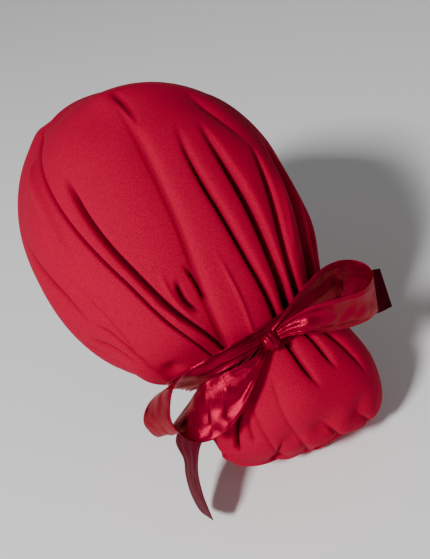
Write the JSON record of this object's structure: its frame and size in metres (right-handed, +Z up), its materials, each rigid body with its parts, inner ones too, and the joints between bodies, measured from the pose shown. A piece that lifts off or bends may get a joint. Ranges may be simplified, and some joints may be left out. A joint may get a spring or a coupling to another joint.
{
  "type": "gathered scrub cap with bun pouch and ribbon bow",
  "caption": "Soft gathered cloth cap that covers the hair, with a wide front band, a pouch for gathered hair at the nape and a satin ribbon tied round the waist in a bow.",
  "frame": {"origin": "middle of the head opening, where the head sits", "axes": "+Z up, the wearer faces -Y, +X is the wearer's left; the head leaves along -Z"},
  "size_m": [0.2086, 0.2729, 0.2712],
  "materials": {
    "cap_cloth": "matte fine woven cotton blend, crimson",
    "satin_ribbon": "glossy satin ribbon, dark crimson"
  },
  "bodies": {
    "root": {"crown": "cap_cloth", "front_band": "cap_cloth", "bun_pouch": "cap_cloth", "ribbon_tie": "satin_ribbon", "bow_knot": "satin_ribbon", "bow_loop_left": "satin_ribbon", "bow_loop_right": "satin_ribbon", "ribbon_tail_left": "satin_ribbon", "ribbon_tail_right": "satin_ribbon"}
  },
  "joints": []
}
